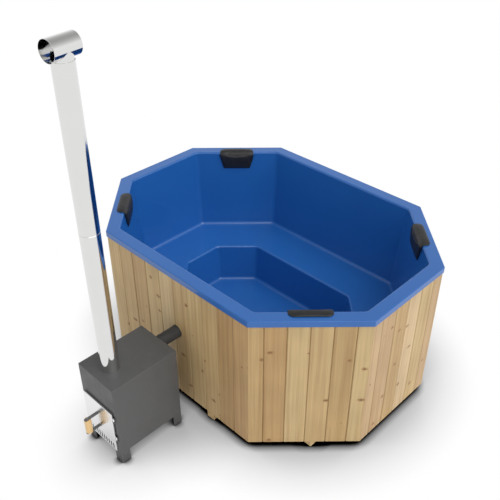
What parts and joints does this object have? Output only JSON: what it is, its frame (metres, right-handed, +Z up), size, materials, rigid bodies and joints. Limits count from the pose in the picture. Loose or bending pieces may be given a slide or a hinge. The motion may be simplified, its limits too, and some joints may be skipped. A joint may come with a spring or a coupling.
{
  "type": "wood-burning hot tub",
  "caption": "Eight-sided boarded hot tub with a moulded blue basin, bench and foot well, heated by a wood stove beside it with a tall chimney, fire door, ash drawer and drain valve.",
  "frame": {"origin": "on the floor under the middle of the tub", "axes": "+Z up, +X along the tub's length, +Y away from the stove, which stands beyond the tub's -Y side"},
  "size_m": [2.2, 2.402, 2.487],
  "materials": {
    "gelcoat": "glossy blue gelcoat on moulded laminate",
    "boards": "oiled softwood boards with knots",
    "frame_timber": "sawn softwood",
    "foam": "rigid foam",
    "pad": "soft black foam with a closed skin",
    "hose": "matte",
    "fitting": "satin",
    "lock_nut": "moulded",
    "clamp": "dark",
    "drain_tube": "grey",
    "valve_brass": "cast and turned",
    "valve_ball": "polished",
    "lever": "dark coated",
    "stove_paint": "grey satin paint",
    "firebox_steel": "dull",
    "grate_iron": "rough",
    "mirror_steel": "mirror-polished stainless steel",
    "dark_steel": "dark coated",
    "bolt_steel": "plated",
    "rope": "woven glass rope",
    "fibre_board": "mineral fibre board",
    "grip_wood": "turned and varnished"
  },
  "bodies": {
    "tub_and_stove": {"tub_liner": "gelcoat", "cladding_stove_side": "boards", "cladding_right_front": "boards", "cladding_right_end": "boards", "cladding_right_back": "boards", "cladding_back_side": "boards", "cladding_left_back": "boards", "cladding_left_end": "boards", "cladding_left_front": "boards", "base_joists": "frame_timber", "base_deck": "frame_timber", "top_rails": "frame_timber", "bottom_rails": "frame_timber", "corner_posts": "frame_timber", "floor_insulation": "foam", "headrest_right_front": "pad", "headrest_right_back": "pad", "headrest_left_back": "pad", "headrest_left_front": "pad", "hot_wall_fitting": "fitting", "hot_grille": "fitting", "upper_hose": "hose", "cold_wall_fitting": "fitting", "cold_grille": "fitting", "lower_hose": "hose", "fitting_nuts": "lock_nut", "hose_clamps": "clamp", "drain_fitting": "fitting", "drain_strainer": "fitting", "drain_nut": "lock_nut", "drain_pipe": "drain_tube", "drain_valve_body": "valve_brass", "stove_front_plate": "stove_paint", "stove_rear_plate": "stove_paint", "stove_side_plates": "stove_paint", "stove_top_plate": "stove_paint", "stove_floor_plate": "stove_paint", "stove_spigots": "fitting", "firebox": "firebox_steel", "fire_grate": "grate_iron", "hinge_leaves": "stove_paint", "hinge_pins": "bolt_steel", "flue_collar": "firebox_steel", "chimney_lower": "mirror_steel", "chimney_upper": "mirror_steel", "chimney_cowl": "mirror_steel"},
    "fire_door": {"firebox_door": "mirror_steel", "door_insulation": "fibre_board", "door_back_plate": "firebox_steel", "door_gasket": "rope", "handle_straps": "dark_steel", "handle_grip": "grip_wood", "handle_bolt": "bolt_steel", "door_knuckles": "mirror_steel"},
    "ash_drawer": {"ash_drawer_front": "mirror_steel", "ash_tray": "firebox_steel"},
    "drain_handle": {"drain_ball": "valve_ball", "drain_stem": "valve_brass", "drain_lever": "lever"}
  },
  "joints": [
    {"name": "fire_door_hinge", "type": "hinge", "parent": "tub_and_stove", "child": "fire_door", "pos_m": [0.16, -1.42, 0.284], "axis": [0, 0, 1], "range_deg": [0, 115]},
    {"name": "ash_drawer_slide", "type": "slide", "parent": "tub_and_stove", "child": "ash_drawer", "axis": [0, -1, 0], "range_m": [0, 0.3]},
    {"name": "drain_valve_turn", "type": "hinge", "parent": "tub_and_stove", "child": "drain_handle", "pos_m": [0, 0.866, 0.024], "axis": [0, 0, 1], "range_deg": [0, 90]}
  ]
}
